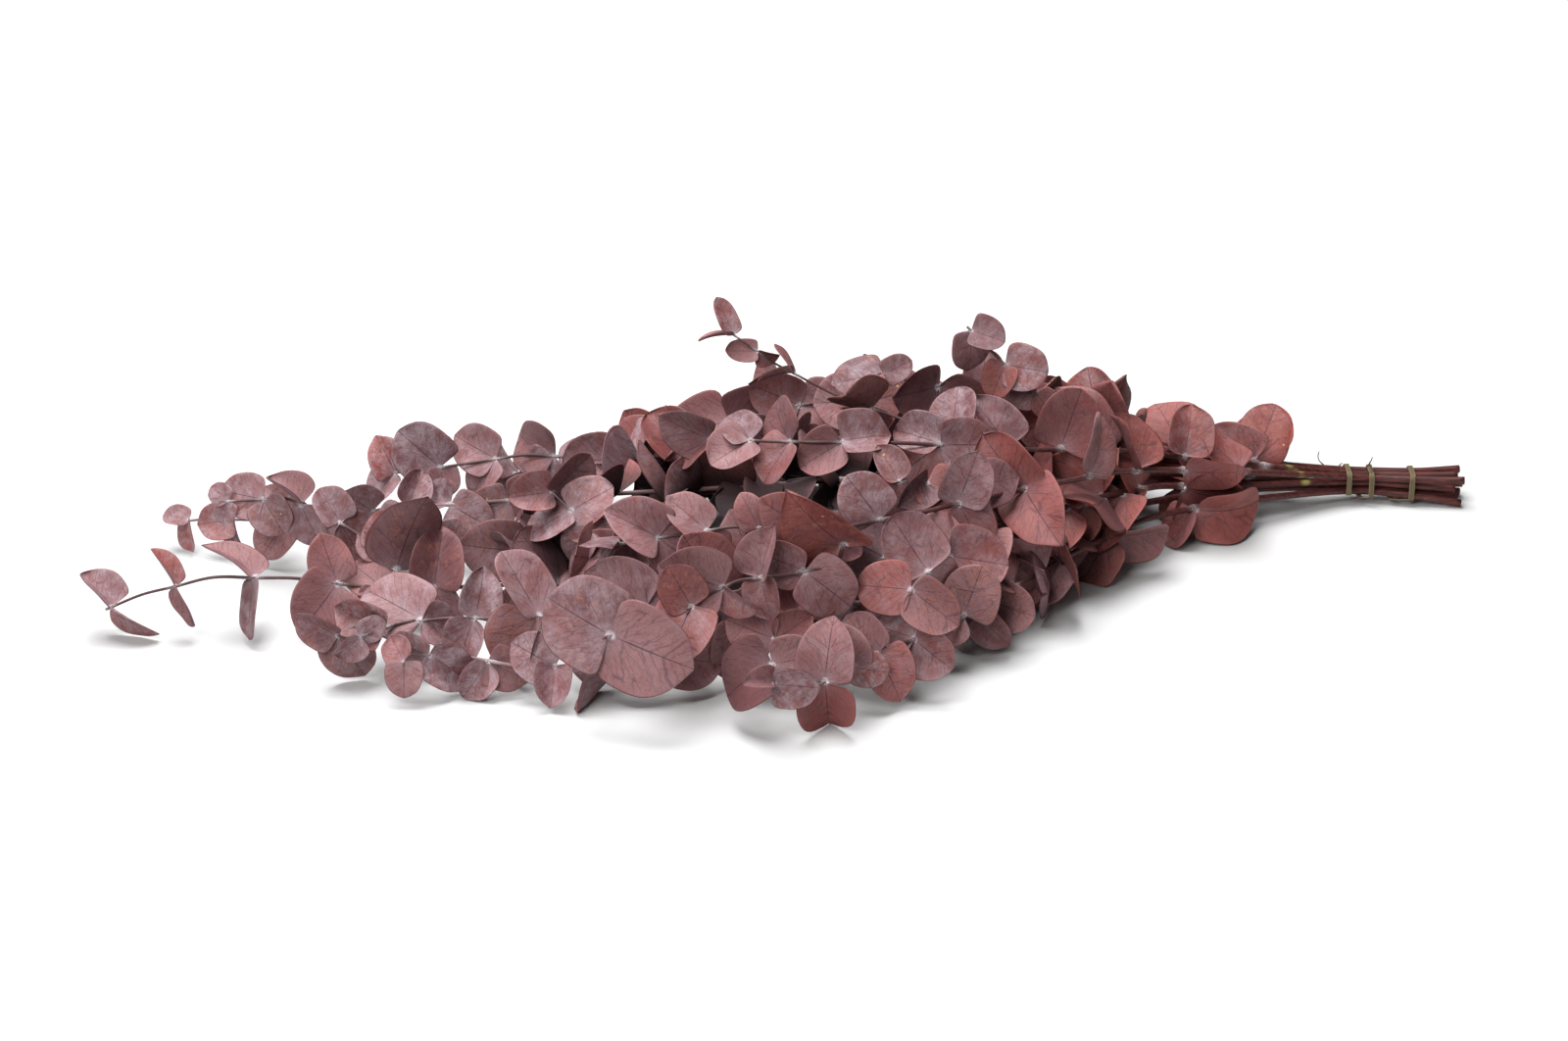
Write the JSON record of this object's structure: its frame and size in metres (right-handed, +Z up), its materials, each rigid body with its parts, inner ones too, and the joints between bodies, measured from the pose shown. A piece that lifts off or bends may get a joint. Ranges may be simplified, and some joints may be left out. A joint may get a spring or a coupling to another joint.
{
  "type": "tied bunch of preserved silver dollar eucalyptus",
  "caption": "Tied bunch of preserved eucalyptus stems with round opposite leaves, lying flat, for vases, wreaths and table displays.",
  "frame": {"origin": "middle of the bunch's outline on the surface it lies on", "axes": "+X along the bunch towards the cut ends, +Y away from the viewer of the picture, +Z up"},
  "size_m": [0.7229, 0.3179, 0.1426],
  "materials": {
    "preserved_leaf": "matte",
    "tie_fibre": "satin"
  },
  "bodies": {
    "root": {"stem_front_low": "preserved_leaf", "stem_front_left": "preserved_leaf", "stem_front_top": "preserved_leaf", "stem_far_left": "preserved_leaf", "stem_left_middle": "preserved_leaf", "stem_back_left": "preserved_leaf", "stem_back_low": "preserved_leaf", "stem_ridge": "preserved_leaf", "stem_back_top": "preserved_leaf", "binding_tie": "tie_fibre"}
  },
  "joints": []
}
